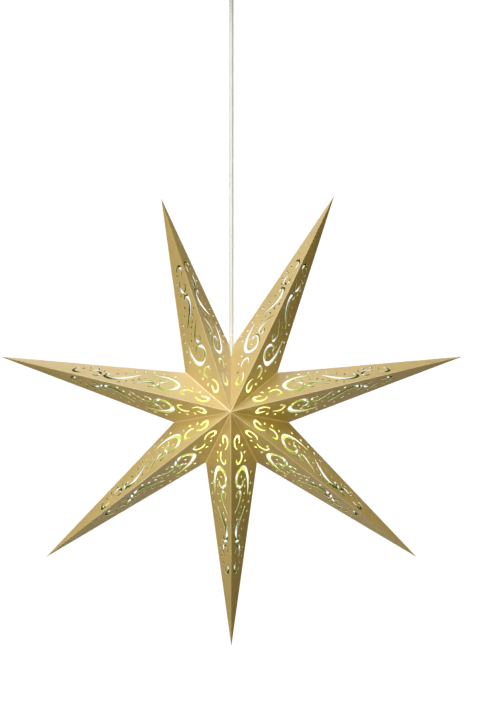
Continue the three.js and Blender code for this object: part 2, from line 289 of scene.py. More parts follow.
def makePaperInside():
    material, tree, shader, output = newMaterial("paperInside")
    near = grainOn(tree, paper["insideLampLit"], shaded(paper["insideLampLit"], paper["insideShade"]),
                   paper["insideRoughness"], paper["insideSpread"], paper["cloud"], paper["grain"])
    # Painted lamp light: pale yellow near the crown, fading into painted shade of dark green towards the
    # tips.
    lampFalloff = mapRange(tree, runAlongRidge(tree), paper["lampLitUntil"], paper["shadedFrom"])
    colour = mixColour(tree, lampFalloff, near["Color"], (*paper["insideShadedGreen"], 1))
    tree.links.new(colour, shader.inputs["Base Color"])
    tree.links.new(near["Roughness"], shader.inputs["Roughness"])
    normal = bumpInto(tree, shader, near["Height"], paper["bump"], paper["bumpDepth"])
    letLightThrough(tree, shader, output, normal, paper["insideGlow"], paper["insideGlowShare"])
    return material


paperOutside = makePaperOutside()
paperInside = makePaperInside()
paperEdge = plainFinish("paperCutEdge", paper["cutEdge"], shaded(paper["cutEdge"], paper["cutEdgeShade"]),
                        paper["cutEdgeRoughness"], grain=paper["cutEdgeGrain"])

# One facet laid flat, in millimetres: along the ridge from the crown, then across towards the notch.
facet = {
    "ridge": 315.56, "notch": (94.65, 42.37), "thickness": 0.35, "taper": 6.0, "merge": 0.0005,
    "dotLength": 3.1, "dotWidth": 2.4, "dotSides": 10, "capSteps": 3, "splineSteps": 4, "strokeGain": 1.1,
    "faceOn": 0.7,  # a face turned less than this to the front or back is a cut edge
}
# Each scroll is a stroke that swells and thins: along, across, width.
scrolls = [
    [(54.6, 9.3, 1.0), (49.0, 6.4, 1.5), (43.1, 5.4, 2.1), (38.6, 6.2, 2.6), (37.4, 9.2, 2.8),
     (39.6, 12.0, 2.4), (43.6, 12.9, 1.8), (48.3, 12.6, 1.5)],
    [(61.9, 15.5, 1.0), (65.5, 16.5, 1.7), (69.6, 16.9, 2.3), (73.6, 15.6, 2.7), (75.3, 12.9, 2.6),
     (73.6, 9.9, 2.1), (68.2, 8.1, 1.2)],
    [(126.0, 26.3, 0.9), (118.0, 27.0, 1.7), (107.7, 27.2, 2.6), (96.7, 25.2, 3.4), (88.6, 21.8, 4.3),
     (84.6, 17.0, 4.7), (86.2, 11.6, 4.2), (90.4, 8.7, 3.5), (95.6, 8.0, 3.0), (101.5, 9.3, 2.9),
     (106.6, 12.2, 3.0), (108.6, 15.6, 3.0), (107.1, 18.4, 2.6), (103.3, 18.9, 2.2)],
    [(118.3, 8.9, 1.5), (114.4, 8.3, 2.1), (111.9, 10.2, 2.5), (113.2, 13.2, 2.6), (117.6, 15.0, 2.5),
     (123.8, 14.1, 2.1), (131.2, 10.3, 1.6), (137.6, 5.9, 0.9)],
    [(139.6, 22.0, 1.0), (144.0, 18.2, 2.2), (149.4, 14.3, 3.2), (156.9, 10.0, 3.5), (164.3, 7.6, 3.3),
     (172.0, 7.2, 3.0), (177.8, 9.0, 2.8), (177.2, 12.2, 2.4), (172.6, 12.6, 1.7)],
    [(190.8, 6.0, 1.2), (186.0, 6.6, 1.8), (183.3, 9.0, 2.3), (186.0, 12.0, 2.3), (192.3, 13.4, 1.9),
     (200.7, 11.4, 1.0)],
    [(204.3, 6.6, 0.9), (209.0, 5.3, 1.5), (214.4, 4.7, 2.0), (218.6, 6.2, 2.1), (218.3, 9.6, 1.8),
     (214.8, 11.3, 1.2)],
]
dots = [
    (54.5, 17.4), (66.7, 21.6), (77.8, 22), (95.6, 16.1), (102.8, 22.2), (111.8, 21.6), (99.7, 31.6),
    (115.1, 31.5), (127.6, 30.5), (138.1, 28.3), (148.4, 25), (156.6, 19.8), (165.5, 15.9), (183.3, 15.5),
    (191.5, 17.2), (201.6, 15.7), (209.4, 12.6), (121.2, 20.9), (129.1, 18.5), (135.7, 15.7), (140.8, 11.8),
    (147.6, 8.7), (154, 4.8),
]


# A smooth line through all the points, with the widths smoothed in the same way.
def smoothStroke(spine):
    ends = [spine[0], *spine, spine[-1]]
    points = []
    for i in range(1, len(ends) - 2):
        for step in range(facet["splineSteps"]):
            t = step / facet["splineSteps"]
            points.append([0.5 * (2 * b + (c - a) * t + (2 * a - 5 * b + 4 * c - d) * t * t
                                  + (3 * b - a - 3 * c + d) * t ** 3)
                           for a, b, c, d in zip(*ends[i - 1:i + 3])])
    return points + [list(spine[-1])]


def roundCap(start, end):
    middle = (start + end) / 2
    arm = start - middle
    cap = []
    for i in range(facet["capSteps"]):
        turn = -math.pi * (i + 1) / (facet["capSteps"] + 1)
        cap.append(middle + Vector((arm.x * math.cos(turn) - arm.y * math.sin(turn),
                                    arm.x * math.sin(turn) + arm.y * math.cos(turn))))
    return cap


def strokeOutline(spine):
    points = smoothStroke(spine)
    left, right = [], []
    for i, (x, y, width) in enumerate(points):
        before, after = points[max(i - 1, 0)], points[min(i + 1, len(points) - 1)]
        heading = math.atan2(after[1] - before[1], after[0] - before[0])
        across = Vector((-math.sin(heading), math.cos(heading))) * width * facet["strokeGain"] / 2
        left.append(Vector((x, y)) + across)
        right.append(Vector((x, y)) - across)
    outline = left + roundCap(left[-1], right[-1]) + right[::-1] + roundCap(right[0], left[0])
    return [tuple(point) for point in outline]


def dotOutline(place):
    outline = []
    for i in range(facet["dotSides"]):
        turn = 2 * math.pi * i / facet["dotSides"]
        outline.append((place[0] + facet["dotLength"] / 2 * math.cos(turn),
                        place[1] + facet["dotWidth"] / 2 * math.sin(turn)))
    return outline


# The facet's corners, and for each edge a point on it and the way inwards.
def edgeLines():
    corners = [Vector((0, 0, 0)), Vector((facet["ridge"], 0, 0)), Vector((*facet["notch"], 0))]
    lines = []
    for i in range(3):
        along = (corners[(i + 1) % 3] - corners[i]).normalized()
        lines.append((corners[i], Vector((-along.y, along.x, 0))))
    return corners, lines


def cutSheet(sheet):
    data = bpy.data.curves.new("flatFacet", "CURVE")
    data.dimensions = "2D"
    data.fill_mode = "BOTH"
    for outline in [sheet] + [strokeOutline(spine) for spine in scrolls] + [dotOutline(dot) for dot in dots]:
        line = data.splines.new("POLY")
        line.points.add(len(outline) - 1)
        line.use_cyclic_u = True
        for point, (x, y) in zip(line.points, outline):
            point.co = (x, y, 0, 1)
    flat = bpy.data.objects.new("flatFacet", data)
    scene.collection.objects.link(flat)
    activate(flat)
    bpy.ops.object.convert(target="MESH")
    return flat


# The sheet thins to nothing at its creases, over the taper's width, so it is divided there first.
def divideAtTapers(lines):
    bpy.ops.object.mode_set(mode="EDIT")
    for through, inward in lines:
        bpy.ops.mesh.select_all(action="SELECT")
        bpy.ops.mesh.bisect(plane_co=through + inward * facet["taper"], plane_no=inward)
    bpy.ops.mesh.select_all(action="SELECT")
    bpy.ops.mesh.remove_doubles(threshold=facet["merge"])
    bpy.ops.object.mode_set(mode="OBJECT")


def markCreases(flat, lines):
    body = flat.vertex_groups.new(name="body")
    shares = []
    for vertex in flat.data.vertices:
        reach = min((vertex.co - through).dot(inward) for through, inward in lines)
        shares.append(min(1.0, max(0.0, reach / facet["taper"])))
        body.add([vertex.index], shares[-1], "REPLACE")
    flat.data.attributes.new("creaseDistance", "FLOAT", "POINT").data.foreach_set("value", shares)
    layer = flat.data.uv_layers.new(name="facet")
    for loop in flat.data.loops:
        place = flat.data.vertices[loop.vertex_index].co
        layer.data[loop.index].uv = (place.x / facet["ridge"], place.y / facet["ridge"])


def thickenSheet(flat):
    thicken = flat.modifiers.new("thicken", "SOLIDIFY")
    thicken.thickness = facet["thickness"]
    thicken.offset = 0
    thicken.vertex_group = "body"
    thicken.use_even_offset = False
    bpy.ops.object.modifier_apply(modifier="thicken")
    mergeAndFaceOut(facet["merge"])
    flat.vertex_groups.clear()


def mergeAndFaceOut(distance):
    bpy.ops.object.mode_set(mode="EDIT")
    bpy.ops.mesh.select_all(action="SELECT")
    bpy.ops.mesh.remove_doubles(threshold=distance)
    bpy.ops.mesh.normals_make_consistent(inside=False)
    bpy.ops.object.mode_set(mode="OBJECT")


def makeFlatFacet(flap=()):
    corners, lines = edgeLines()
    if flap:
        lines = lines[:2]  # no crease where the sheet runs on as a flap
    flat = cutSheet([(corner.x, corner.y) for corner in corners] + list(flap))
    divideAtTapers(lines)
    markCreases(flat, lines)
    thickenSheet(flat)
    return flat


# Points are numbered clockwise from the open seam at the top. The last one leans, cut to its own tip.
star = {
    "points": 7, "halfDepth": 0.070, "tipRadius": 0.3077, "notchRadius": 0.0765, "leaning": 7,
    "leaningTip": (0.2886, math.radians(108.4)), "seamHalf": 0.0032, "seamHeight": 0.084,
}
# Past and short of the middle in millimetres, and shares of the valley where the halves part for the cord.
flap = {"past": 2.4, "short": 0.3, "until": 0.77, "gone": 0.94, "steps": 10, "grows": 6}


def onStar(radius, angle):
    return starCentre + Vector((radius * math.cos(angle), 0, radius * math.sin(angle)))


def atSeam(number, hand):
    return (number, hand) in ((1, "left"), (star["points"], "right"))


def tipAndNotch(number, hand):
    halfStep = math.pi / star["points"]
    angle = math.pi / 2 - (number - 0.5) * 2 * halfStep
    tip = onStar(*star["leaningTip"]) if number == star["leaning"] else onStar(star["tipRadius"], angle)
    notch = onStar(star["notchRadius"], angle + (halfStep if hand == "left" else -halfStep))
    if atSeam(number, hand):
        side = 1 if hand == "left" else -1
        notch = starCentre + Vector((side * star["seamHalf"], 0, star["seamHeight"]))
    return tip, notch


# The flat facet's place on the star: its corners go to the crown, tip and notch.
def facetPlace(crown, tip, notch):
    along = (tip - crown) / facet["ridge"]
    across = (notch - crown - along * facet["notch"][0]) / facet["notch"][1]
    outward = along.cross(across).normalized() * mm
    if outward.dot(crown - starCentre) < 0:
        outward = -outward
    place = Matrix.Identity(4)
    for column, axis in enumerate((along, across, outward, crown)):
        for row in range(3):
            place[row][column] = axis[row]
    return place, outward.normalized()


# At the open seam one half carries on behind the other as a flap, and they part only for the cord.
def seamFlap(crown, tip, notch):
    valley = Vector(facet["notch"])
    across = Vector((-valley.y, valley.x)).normalized()
    place, _ = facetPlace(crown, tip, notch)
    perMillimetre = (place.to_3x3() @ Vector((*across, 0))).x
    reach = -flap["past"] if notch.x > 0 else -flap["short"]
    points = []
    for i in range(flap["steps"], 0, -1):
        along = flap["gone"] * i / (flap["steps"] + 1)
        opened = max(0.0, (along - flap["until"]) / (flap["gone"] - flap["until"]))
        wanted = reach * min(1.0, flap["grows"] * along) * mm
        wanted += (notch.x * along - wanted) * math.sin(opened * math.pi / 2)
        points.append(tuple(valley * along + across * (wanted - notch.x * along) / perMillimetre))
    return points


def placeFacet(flat, name, crown, tip, notch):
    mesh = flat.data.copy()
    mesh.name = name
    place, outward = facetPlace(crown, tip, notch)
    mesh.transform(place)
    if place.determinant() < 0:
        mesh.flip_normals()
    mesh.update()
    mesh.materials.clear()
    for material in (paperOutside, paperInside, paperEdge):
        mesh.materials.append(material)
    for face in mesh.polygons:
        facing = face.normal.dot(outward)
        face.material_index = 0 if facing > facet["faceOn"] else 1 if facing < -facet["faceOn"] else 2
        face.use_smooth = False
    piece = bpy.data.objects.new(name, mesh)
    scene.collection.objects.link(piece)
    node = name.replace("paper_", "")
    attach(piece, node)
    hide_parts(node)


def makeStar():
    plain = makeFlatFacet()
    print("facet cut,", len(plain.data.polygons), "faces")
    for number in range(1, star["points"] + 1):
        for hand in ("left", "right"):
            tip, notch = tipAndNotch(number, hand)
            for face, side in (("front", -1), ("back", 1)):
                crown = starCentre + Vector((0, side * star["halfDepth"], 0))
                name = f"paper_point_{number}_{face}_{hand}"
                if atSeam(number, hand):
                    flapped = makeFlatFacet(seamFlap(crown, tip, notch))
                    placeFacet(flapped, name, crown, tip, notch)
                    bpy.data.objects.remove(flapped)
                else:
                    placeFacet(plain, name, crown, tip, notch)
    bpy.data.objects.remove(plain)


makeStar()
print("star folded")

# Finishes of the fittings.
nylonWhite = plainFinish("nylonWhite", (0.84, 0.84, 0.81), (0.77, 0.77, 0.74), 0.42, grain=1400.0, bump=0.2)
enamelWhite = plainFinish("enamelWhite", (0.85, 0.85, 0.83), (0.80, 0.80, 0.78), 0.30, spread=0.03,
                          cloud=60.0, grain=260.0, bump=0.12, sockets={"Coat Weight": 0.4})
zincSteel = plainFinish("zincSteel", (0.66, 0.68, 0.72), (0.50, 0.52, 0.55), 0.36, spread=0.06,
                        cloud=180.0, grain=1800.0, bump=0.12, sockets={"Metallic": 1.0})
capAluminium = plainFinish("capAluminium", (0.78, 0.78, 0.79), (0.60, 0.60, 0.62), 0.34, spread=0.06,
                           cloud=240.0, grain=2200.0, bump=0.1, sockets={"Metallic": 1.0})
stampedBrass = plainFinish("stampedBrass", (0.83, 0.63, 0.27), (0.62, 0.43, 0.16), 0.32, spread=0.06,
                           cloud=240.0, grain=2000.0, bump=0.1, sockets={"Metallic": 1.0})
whiteCeramic = plainFinish("whiteCeramic", (0.86, 0.84, 0.79), (0.76, 0.74, 0.68), 0.55,
                           cloud=120.0, grain=1600.0, bump=0.25)
blackGlass = plainFinish("blackGlass", (0.02, 0.02, 0.024), (0.008, 0.008, 0.01), 0.16,
                         grain=800.0, bump=0.05)
cottonWhite = plainFinish("cottonWhite", (0.88, 0.87, 0.84), (0.70, 0.69, 0.65), 0.85,
                          cloud=500.0, grain=3000.0, bump=0.4, sockets={"Sheen Weight": 0.3})

glass = {"light": (1.0, 0.97, 0.9), "dark": (0.95, 0.91, 0.82), "glow": 2.2, "clear": 0.7}


# Lit frosted glass, which lets the lamp's own light out past it.
def makeFrostedGlass():
    material, tree, shader, output = newMaterial("frostedGlass")
    surface = grainOn(tree, glass["light"], glass["dark"], 0.45, 0.1, 90.0, 2500.0)
    tree.links.new(surface["Color"], shader.inputs["Base Color"])
    tree.links.new(surface["Roughness"], shader.inputs["Roughness"])
    tree.links.new(surface["Color"], shader.inputs["Emission Color"])
    shader.inputs["Emission Strength"].default_value = glass["glow"]
    shader.inputs["Transmission Weight"].default_value = glass["clear"]
    bumpInto(tree, shader, surface["Height"], 0.2, 0.1 * mm)
    clear = tree.nodes.new("ShaderNodeBsdfTransparent")
    mix = tree.nodes.new("ShaderNodeMixShader")
    tree.links.new(tree.nodes.new("ShaderNodeLightPath").outputs["Is Shadow Ray"], mix.inputs[0])
    tree.links.new(shader.outputs[0], mix.inputs[1])
    tree.links.new(clear.outputs[0], mix.inputs[2])
    tree.links.new(mix.outputs[0], output.inputs[0])
    return material


frostedGlass = makeFrostedGlass()

# Turned pieces are drawn as profiles of radius and height, in millimetres.
turned = {"easeShare": 0.45, "easeSteps": (0.0, 0.33, 0.67, 1.0), "merge": 0.000001, "smoothUnder": 38}


# Rounds every corner of a profile that is off the axis.
def eased(profile, radius, closed):
    count = len(profile)
    points = []
    for i, (x, y) in enumerate(profile):
        atEnd = not closed and i in (0, count - 1)
        if atEnd or x == 0:
            points.append((x, y))
            continue
        corner, before, after = Vector((x, y)), Vector(profile[i - 1]), Vector(profile[(i + 1) % count])
        back, ahead = before - corner, after - corner
        start = corner + back.normalized() * min(radius, back.length * turned["easeShare"])
        end = corner + ahead.normalized() * min(radius, ahead.length * turned["easeShare"])
        for t in turned["easeSteps"]:
            points.append(tuple(start * (1 - t) ** 2 + corner * 2 * t * (1 - t) + end * t ** 2))
    return points


def lineObject(name, points, closed=False):
    data = bpy.data.curves.new(name, "CURVE")
    data.dimensions = "3D"
    line = data.splines.new("POLY")
    line.points.add(len(points) - 1)
    line.use_cyclic_u = closed
    for point, place in zip(line.points, points):
        point.co = (*(v * mm for v in place), 1)
    piece = bpy.data.objects.new(name, data)
    scene.collection.objects.link(piece)
    activate(piece)
    return piece


def spun(name, profile, closed=True, base=0.0, steps=64, ease=0.3):
    rounded = eased(profile, ease, closed) if ease else profile
    piece = lineObject(name, [(radius, 0, height + base) for radius, height in rounded], closed)
    bpy.ops.object.convert(target="MESH")
    bpy.ops.object.mode_set(mode="EDIT")
    bpy.ops.mesh.select_all(action="SELECT")
    bpy.ops.mesh.spin(steps=steps, angle=2 * math.pi, center=(0, 0, 0), axis=(0, 0, 1))
    bpy.ops.object.mode_set(mode="OBJECT")
    mergeAndFaceOut(turned["merge"])
    bpy.ops.object.shade_smooth_by_angle(angle=math.radians(turned["smoothUnder"]))
    return piece


# Moves the points of a turned piece in or out: change(radius, turn, height) gives millimetres.
def carve(piece, change):
    for vertex in piece.data.vertices:
        x, y, z = vertex.co
        radius = math.hypot(x, y)
        if radius > turned["merge"]:
            grown = 1 + change(radius / mm, math.atan2(y, x), z / mm) * mm / radius
            vertex.co = (x * grown, y * grown, z)
    piece.data.update()


def fit(piece, node, body, material):
    piece.data.materials.clear()
    piece.data.materials.append(material)
    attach(piece, body)
    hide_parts(node)


# Ribs are named by their count and depth, the radius that they lie outside, and their heights.
def knurl(piece, ribs, base=0.0):
    def change(radius, turn, height):
        if radius < ribs["outside"] or not base + ribs["low"] < height < base + ribs["high"]:
            return 0.0
        return -ribs["depth"] * (0.5 - 0.5 * math.cos(ribs["count"] * turn)) ** 2
    carve(piece, change)


# A rounded thread that fades out over its first and last turn.
def thread(piece, groove, pitch, base):
    low, high = base + groove["low"], base + groove["high"]

    def change(radius, turn, height):
        if not groove["outside"] <= radius <= groove["inside"] or not low < height < high:
            return 0.0
        fade = min(1.0, (height - low) / pitch, (high - height) / pitch)
        return -groove["depth"] * fade * (0.5 + 0.5 * math.cos(2 * math.pi * height / pitch - turn))
    carve(piece, change)


def layered(low, high, count):
    return [low + (high - low) * i / count for i in range(count + 1)]


# The lampholder's heights are above the star's centre.
holder = {
    "base": -600.0, "bore": 3.05, "gripNeck": 4.9, "gripWidest": 6.6, "shell": 13.8, "wall": 1.6,
    "shellTop": 35.7, "bevel": 0.4, "threadPitch": 2.82,
    "gripRibs": {"count": 14, "depth": 0.5, "outside": 5.9, "low": 50.5, "high": 56},
    "shellFlutes": {"count": 24, "depth": 0.35, "outside": 13.2, "low": 24.3, "high": 33.7},
    "ringTeeth": {"count": 40, "depth": 0.55, "outside": 16.2, "low": 11.9, "high": 15},
    "shellThread": {"pitch": 2.0, "depth": 0.28, "low": 8.0, "high": 21.0, "layers": 40},
    "socketThread": {"depth": 0.32, "outside": 6, "inside": 8.0, "low": 9, "high": 28.6},
    "ring": [(14.1, 12), (17.1, 12), (17.1, 13.2), (17.1, 14.5), (15.6, 17.6), (15.2, 18), (14.1, 18)],
    "block": [(0, 28.4), (4.2, 28.4), (4.6, 28.9), (8.4, 28.9), (8.8, 28.4), (11.9, 28.4), (11.9, 34),
              (9.4, 34), (9.0, 33.2), (5.0, 33.2), (4.6, 34), (0, 34)],
    "socket": {"inner": 7.45, "outer": 7.8, "low": 9.5, "high": 28.1, "layers": 52},
    "tongue": [(0, 27.1), (1.5, 27.1), (2.2, 27.6), (2.6, 28.1), (0, 28.1)],
}


def makeGripAndCap():
    base, outer, inner = holder["base"], holder["shell"], holder["shell"] - holder["wall"]
    bore, neck, widest = holder["bore"], holder["gripNeck"], holder["gripWidest"]
    groove = outer - holder["bevel"]
    nutLine = [(bore, 44), (neck, 44), (neck, 50.3), (widest, 50.3), (widest, 51.6), (widest, 53.6),
               (widest, 55), (neck, 59.2), (4.4, 60), (bore, 60)]
    nut = spun("cordGripNut", nutLine, base=base, steps=112, ease=0.25)
    knurl(nut, holder["gripRibs"], base)
    fit(nut, "cord_grip_nut", "lantern", nylonWhite)
    capLine = [(5.2, 48.2), (8.6, 48.2), (11.2, 45.4), (inner, 41.6), (inner, 36), (outer, 36),
               (outer, 37.2), (groove, 37.6), (groove, 38.2), (outer, 38.6), (outer, 41), (13.3, 44),
               (12.1, 46.8), (10.6, 48.8), (8.6, 50), (5.2, 50)]
    cap = spun("holderCap", capLine, base=base, ease=0.35)
    fit(cap, "holder_cap", "lantern", nylonWhite)


def makeShellAndRing():
    base, outer, inner = holder["base"], holder["shell"], holder["shell"] - holder["wall"]
    run, top, edge = holder["shellThread"], holder["shellTop"], outer - holder["bevel"]
    wall = [(outer, height) for height in layered(run["low"], run["high"], run["layers"])]
    shellLine = [(inner, 7), (edge, 7), *wall, (outer, 24), (outer, 24.6), (outer, 33.4), (outer, 34),
                 (outer, top - holder["bevel"]), (edge, top), (inner, top)]
    shell = spun("holderShell", shellLine, base=base, steps=96, ease=0)

    def shellThread(radius, turn, height):
        if radius <= inner + 1 or not base + run["low"] < height < base + run["high"]:
            return 0.0
        return -run["depth"] * (0.5 + 0.5 * math.cos(2 * math.pi * height / run["pitch"] - turn))
    carve(shell, shellThread)
    knurl(shell, holder["shellFlutes"], base)
    fit(shell, "holder_shell", "lantern", nylonWhite)
    ring = spun("shadeRing", holder["ring"], base=base, steps=4 * holder["ringTeeth"]["count"], ease=0.25)
    knurl(ring, holder["ringTeeth"], base)
    fit(ring, "shade_ring", "lantern", nylonWhite)


def makeContacts():
    base, socket = holder["base"], holder["socket"]
    block = spun("contactBlock", holder["block"], closed=False, base=base)
    fit(block, "contact_block", "lantern", whiteCeramic)
    heights = layered(socket["low"], socket["high"], socket["layers"])
    socketLine = [(socket["inner"], height) for height in heights]
    socketLine += [(socket["outer"], height) for height in reversed(heights)]
    screwShell = spun("screwShell", socketLine, base=base, steps=48, ease=0)
    thread(screwShell, holder["socketThread"], holder["threadPitch"], base)
    fit(screwShell, "screw_shell", "lantern", stampedBrass)
    tongue = spun("centreContact", holder["tongue"], closed=False, base=base, ease=0.15)
    fit(tongue, "centre_contact", "lantern", stampedBrass)


makeGripAndCap()
makeShellAndRing()
makeContacts()
print("lampholder made")

# The bulb hangs glass down, and its heights are above the star's centre too.
bulb = {
    "outline": [(6.2, 5.6), (6.3, 4.0), (7.2, 0.8), (9.0, -2.6), (10.8, -6.4), (12.1, -10.6), (12.5, -14.2),
                (12.1, -18.4), (10.7, -22.6), (8.3, -26.2), (5.2, -28.8), (2.4, -29.8)],
    "bottom": -30.0, "glassWall": 0.6,
    "stem": [(0, -14), (0.7, -14), (1, -13.4), (1.2, -8), (1.4, -3), (2.2, 0), (3.2, 2), (3.6, 4),
             (3.6, 5.8), (0, 5.8)],
    "coil": {"radius": 7.2, "arc": 1.5 * math.pi, "height": -13, "wave": 1.6, "waves": 9 * math.pi,
             "steps": 60, "wireEvery": 20, "thickness": 0.16, "glow": 12.0},
    "wire": {"footRadius": 1.1, "footHeight": -6, "thickness": 0.2},
    "thread": {"depth": 0.5, "outside": 6, "inside": 7.0, "low": 7.6, "high": 21.9},
    "capRings": (8.0, 21.5, 44), "capRadius": 6.75,
    "insulator": [(0, 24.3), (4.8, 24.3), (4.2, 24.9), (2.8, 25.9), (0, 25.9)],
    "tip": [(0, 26.1), (2.2, 26.1), (2.1, 26.45), (1.2, 26.8), (0, 26.8)],
}


def tube(name, points, radius, bevelSteps):
    piece = lineObject(name, points)
    piece.data.bevel_depth = radius * mm
    piece.data.bevel_resolution = bevelSteps
    piece.data.use_fill_caps = True
    bpy.ops.object.convert(target="MESH")
    mergeAndFaceOut(turned["merge"])
    bpy.ops.object.shade_smooth_by_angle(angle=math.radians(50))
    return bpy.context.object


def makeFilamentGlow():
    material, tree, shader, _ = newMaterial("filamentGlow")
    surface = grainOn(tree, (1.0, 0.82, 0.45), (1.0, 0.62, 0.22), 0.5, 0.1, 900.0, 4000.0)
    tree.links.new(surface["Color"], shader.inputs["Base Color"])
    tree.links.new(surface["Color"], shader.inputs["Emission Color"])
    shader.inputs["Emission Strength"].default_value = bulb["coil"]["glow"]
    return material


def makeGlass():
    base, outer = holder["base"], bulb["outline"]
    inner = [(radius - bulb["glassWall"], height) for radius, height in outer]
    glassLine = [(0, bulb["bottom"] + bulb["glassWall"])] + inner[::-1] + outer + [(0, bulb["bottom"])]
    envelope = spun("bulbGlass", glassLine, closed=False, base=base, ease=0.5)
    fit(envelope, "bulb_glass", "bulb", frostedGlass)
    stem = spun("bulbStem", bulb["stem"], closed=False, base=base, steps=32)
    fit(stem, "bulb_stem", "bulb", frostedGlass)


# The filament runs three quarters of the way round, held up by wires from the stem.
def makeFilament():
    coil, lead, base = bulb["coil"], bulb["wire"], holder["base"]
    points = []
    for t in layered(0, 1, coil["steps"]):
        points.append((coil["radius"] * math.cos(t * coil["arc"]), coil["radius"] * math.sin(t * coil["arc"]),
                       base + coil["height"] + coil["wave"] * math.sin(t * coil["waves"])))
    filament = tube("bulbFilament", points, coil["thickness"], 1)
    filament.data.materials.append(makeFilamentGlow())
    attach(filament, "bulb")
    inwards = lead["footRadius"] / coil["radius"]
    for i, end in enumerate(points[::coil["wireEvery"]]):
        foot = (inwards * end[0], inwards * end[1], base + lead["footHeight"])
        middle = tuple((a + b) / 2 for a, b in zip(foot, end))
        wire = tube(f"filamentWire_{i + 1}", [foot, middle, end], lead["thickness"], 1)
        wire.data.materials.append(zincSteel)
        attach(wire, "bulb")


def makeBulbCap():
    base = holder["base"]
    shellLine = [(0, 6.2), (6.6, 6.2), (6.7, 7)]
    shellLine += [(bulb["capRadius"], height) for height in layered(*bulb["capRings"])]
    shellLine += [(6.2, 22.8), (5.2, 24), (0, 24)]
    shell = spun("bulbBaseShell", shellLine, closed=False, base=base, steps=48, ease=0)
    thread(shell, bulb["thread"], holder["threadPitch"], base)
    fit(shell, "bulb_base_shell", "bulb", capAluminium)
    insulator = spun("bulbInsulator", bulb["insulator"], closed=False, base=base, steps=40, ease=0.2)
    fit(insulator, "bulb_insulator", "bulb_foot", blackGlass)
    tip = spun("bulbContactTip", bulb["tip"], closed=False, base=base, steps=32, ease=0.15)
    fit(tip, "bulb_contact_tip", "bulb_foot", stampedBrass)


makeGlass()
makeFilament()
makeBulbCap()
print("bulb made")

# The ceiling rose's heights are below the ceiling.
rose = {
    "cup": [(6.3, -38), (30, -38), (36, -37.8), (39.6, -36.8), (42.4, -34.8), (44.2, -32), (45, -28.4),
            (45, -4), (45, -2.4), (45.7, -1.7), (45.7, -0.9), (45.1, -0.3), (43.8, -0.3), (43.8, -28.2),
            (43, -31.4), (41.4, -34), (39, -35.8), (35.6, -36.8), (6.3, -36.8)],
    "gland": [(6.3, -54), (5.6, -55), (8.6, -55), (9.6, -51.2), (10.4, -48), (10.4, -46), (10.4, -41),
              (10.4, -38.3), (6, -38.3), (6, -30), (3.1, -30), (3.1, -43), (5.6, -44.7), (7.2, -47.4),
              (7.6, -50), (7.2, -52)],
    "glandFlutes": {"count": 12, "depth": 0.7, "outside": 10.2, "low": -48.5, "high": -38.8},
    "bead": 7.0, "beadSteps": 24, "pivot": -50.0, "seamLine": {"depth": 0.12, "from": 0.1, "to": 1.2},
    "tail": [(0, 0, -42.4), (0, 0, -36), (0, 0, -32), (0.15, 0, -29), (0.6, 0, -26), (1.9, 0, -22.8),
             (4, 0, -20), (6.6, 0, -18.2), (9.7, 0, -17.2)],
    "screwHead": [(0, 0), (1.9, 0), (1.9, 8.5), (3.6, 8.5), (3.6, 9.6), (3.2, 10.3), (2.4, 10.8), (0, 10.8)],
    "screwSlot": {"place": (0, 0, 10.6), "size": (8, 0.9, 1.6)}, "screwFoot": (37.0, 0, -10.0),
    "terminalHead": [(0, 0), (1.7, 0), (1.7, 2.2), (0, 2.2)],
    "terminalSlot": {"place": (0, 0, 0), "size": (5, 0.6, 1.0)}, "terminalFoot": (18.5, 4.5, -14.9),
}


def cutSlot(piece, place, size):
    bpy.ops.mesh.primitive_cube_add(size=1, location=[v * mm for v in place], scale=[v * mm for v in size])
    cutter = bpy.context.object
    slotCut = piece.modifiers.new("slotCut", "BOOLEAN")
    slotCut.object = cutter
    slotCut.solver = "EXACT"
    activate(piece)
    bpy.ops.object.modifier_apply(modifier="slotCut")
    bpy.data.objects.remove(cutter)


# A machined or moulded part: the plain solid with its doubles merged and its edges eased.
def easedCopy(node, name, width):
    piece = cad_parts[node].copy()
    piece.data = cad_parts[node].data.copy()
    for key in list(piece.keys()):
        del piece[key]
    piece.parent = None
    piece.name = name
    piece.data.name = name
    scene.collection.objects.link(piece)
    activate(piece)
    bpy.ops.object.mode_set(mode="EDIT")
    bpy.ops.mesh.select_all(action="SELECT")
    bpy.ops.mesh.remove_doubles(threshold=turned["merge"])
    bpy.ops.mesh.dissolve_limited(angle_limit=math.radians(1))
    bpy.ops.mesh.normals_make_consistent(inside=False)
    bpy.ops.object.mode_set(mode="OBJECT")
    soften = piece.modifiers.new("soften", "BEVEL")
    soften.width = width * mm
    soften.segments = 2
    soften.limit_method = "ANGLE"
    soften.angle_limit = math.radians(40)
    bpy.ops.object.modifier_apply(modifier="soften")
    bpy.ops.object.shade_smooth_by_angle(angle=math.radians(turned["smoothUnder"]))
    return piece


def makeBead():
    arc = [(max(0.0, rose["bead"] * math.cos(turn)), rose["pivot"] + rose["bead"] * math.sin(turn))
           for turn in layered(-math.pi / 2, math.pi / 2, rose["beadSteps"])]
    beadLine = [(0, arc[0][1]), *arc[1:-1], (0, arc[-1][1])]
    bead = spun("cordBead", beadLine, closed=False, ease=0)
    groove = rose["seamLine"]

    def seamLine(radius, turn, height):
        inGroove = groove["from"] < abs(height - rose["pivot"]) < groove["to"]
        return -groove["depth"] if inGroove else 0.0
    carve(bead, seamLine)
    fit(bead, "cord_bead", "bead", nylonWhite)


